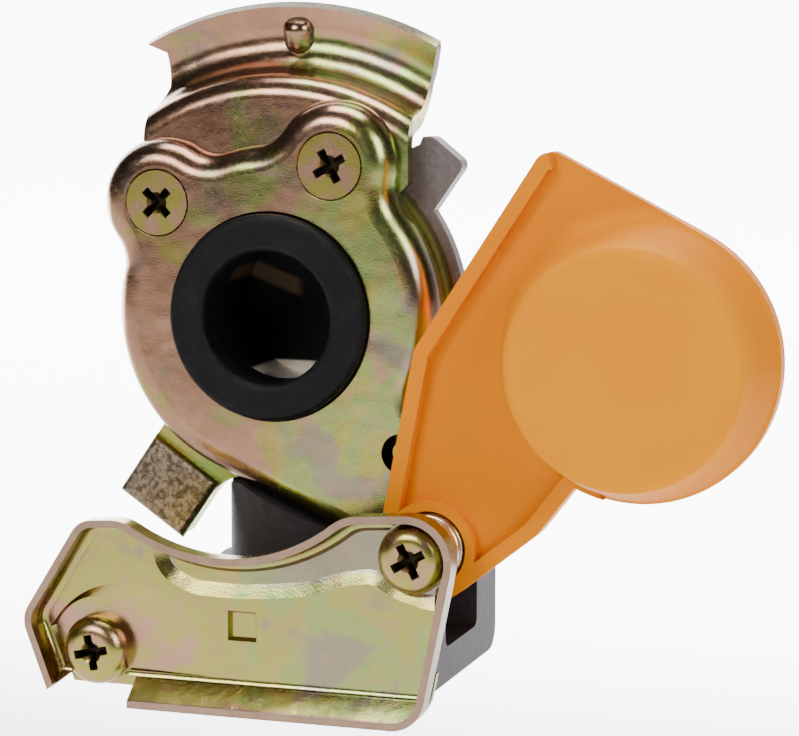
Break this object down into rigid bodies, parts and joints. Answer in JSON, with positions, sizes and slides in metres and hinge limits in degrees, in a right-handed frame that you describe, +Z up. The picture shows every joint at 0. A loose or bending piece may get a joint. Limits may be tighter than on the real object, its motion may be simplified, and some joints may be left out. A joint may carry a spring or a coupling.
{
  "type": "palm coupling head",
  "caption": "Palm coupling head of a trailer air brake: plated face plate with claw, cast housing, guide bracket and swinging spring-loaded dust cover.",
  "frame": {"origin": "centre of the sealing ring's front face", "axes": "+X to the side of the cover's pivot, +Z up towards the claw, the sealing face looks towards -Y"},
  "size_m": [0.1287, 0.0465, 0.1198],
  "materials": {
    "cast_aluminium": "rough die-cast skin",
    "plated_steel": "yellow zinc plated, iridescent",
    "rubber": "smooth moulded",
    "screw_steel": "yellow zinc plated",
    "spring_steel": "plated wire",
    "yellow_plastic": "semi-gloss moulded"
  },
  "bodies": {
    "head": {"housing": "cast_aluminium", "face_plate": "plated_steel", "lug_plate": "plated_steel", "guide_bracket": "plated_steel", "sealing_ring": "rubber", "plate_screw_left": "screw_steel", "plate_screw_right": "screw_steel", "bracket_screw": "screw_steel", "pivot_screw": "screw_steel", "pivot_sleeve": "screw_steel", "cover_spring": "spring_steel", "locating_pin": "screw_steel"},
    "washer": {"spring_washer": "spring_steel"},
    "cover": {"dust_cover": "yellow_plastic"}
  },
  "joints": [
    {"name": "cover_lift", "type": "slide", "parent": "head", "child": "washer", "axis": [0, -1, 0], "range_m": [0, 0.0018], "stiffness_N_per_m": 3000, "deforming": ["cover_spring"]},
    {"name": "cover_swing", "type": "hinge", "parent": "washer", "child": "cover", "pos_m": [0.0312, 0, -0.0373], "axis": [0, -1, 0], "range_deg": [0, 86.9]}
  ]
}
